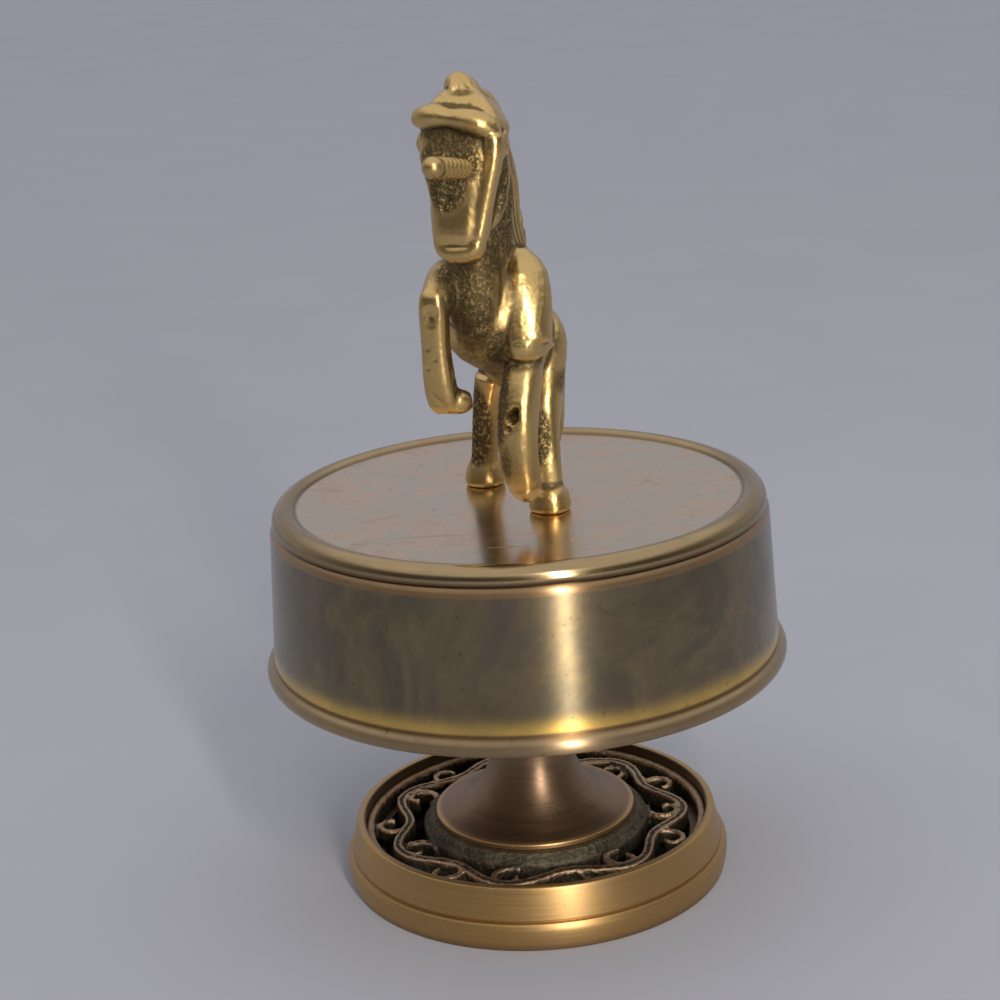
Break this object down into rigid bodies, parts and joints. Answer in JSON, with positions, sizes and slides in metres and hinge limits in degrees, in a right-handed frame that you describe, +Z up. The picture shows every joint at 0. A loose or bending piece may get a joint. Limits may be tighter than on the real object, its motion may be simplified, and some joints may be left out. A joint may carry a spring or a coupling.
{
  "type": "carousel music box",
  "caption": "Brass carousel music box: a round drum with a rearing unicorn turns on a trumpet pedestal over a scroll-filled base while its pin cylinder plays.",
  "frame": {"origin": "middle of the underside of the base, on the surface it stands on", "axes": "+Z up along the winding arbor, the figure faces -Y turned a little towards -X"},
  "size_m": [0.093, 0.093, 0.1461],
  "materials": {
    "satin_brass": "satin turned brass, lightly aged",
    "blackened_brass": "blackened rough casting with worn edges",
    "brown_brass": "brushed brown bronze patina",
    "patina_brass": "dark brown patina with a soft sheen",
    "plate_brass": "tarnished taupe plate, gold-brown bead",
    "cast_brass": "buffed cast brass with dark gritty recesses",
    "bright_brass": "bright machined brass",
    "zinc_casting": "grey die casting",
    "spring_steel": "bright spring steel",
    "plated_steel": "plated sheet steel",
    "felt": "dark green felt"
  },
  "bodies": {
    "base": {"base_ring": "satin_brass", "scroll_insert": "blackened_brass", "base_plate": "plated_steel", "felt_pad": "felt", "pedestal": "brown_brass", "pedestal_screw": "plated_steel", "winding_arbor": "spring_steel", "thrust_washer": "bright_brass", "great_wheel": "bright_brass"},
    "drum": {"drum_shell": "patina_brass", "top_cap": "plate_brass", "bottom_cover": "plated_steel", "unicorn": "cast_brass", "horn": "cast_brass", "figure_screws": "plated_steel", "movement_bedplate": "zinc_casting", "spring_barrel": "plated_steel", "barrel_screws": "plated_steel", "barrel_cover": "plated_steel", "mainspring": "spring_steel", "inner_bearing": "bright_brass", "outer_bearing": "bright_brass", "bearing_screws": "plated_steel", "comb": "spring_steel", "comb_screws": "plated_steel", "governor_frame": "bright_brass", "governor_screw": "plated_steel", "movement_screws": "plated_steel"},
    "cylinder": {"pin_cylinder": "bright_brass", "cylinder_arbor": "spring_steel", "drive_pinion": "bright_brass", "cylinder_gear": "bright_brass"},
    "governor": {"governor_arbor": "spring_steel", "governor_pinion": "bright_brass", "worm_wheel": "bright_brass"},
    "fly": {"worm_shaft": "spring_steel", "air_brake_fan": "bright_brass"}
  },
  "joints": [
    {"name": "drum_spin", "type": "hinge", "parent": "base", "child": "drum", "pos_m": [0, 0, 0.045], "axis": [0, 0, 1], "continuous": true},
    {"name": "cylinder_spin", "type": "hinge", "parent": "drum", "child": "cylinder", "pos_m": [0.025, 0, 0.05538], "axis": [1, 0, 0], "continuous": true},
    {"name": "governor_spin", "type": "hinge", "parent": "drum", "child": "governor", "pos_m": [0.034, 0.0095, 0.05538], "axis": [1, 0, 0], "continuous": true},
    {"name": "fly_spin", "type": "hinge", "parent": "drum", "child": "fly", "pos_m": [0.0353, 0.0146, 0.055], "axis": [0, 0, 1], "continuous": true}
  ],
  "couplings": [
    {"joint": "cylinder_spin", "follows": "drum_spin", "ratio": -2.125},
    {"joint": "governor_spin", "follows": "drum_spin", "ratio": 7.9688},
    {"joint": "fly_spin", "follows": "drum_spin", "ratio": -127.5}
  ]
}
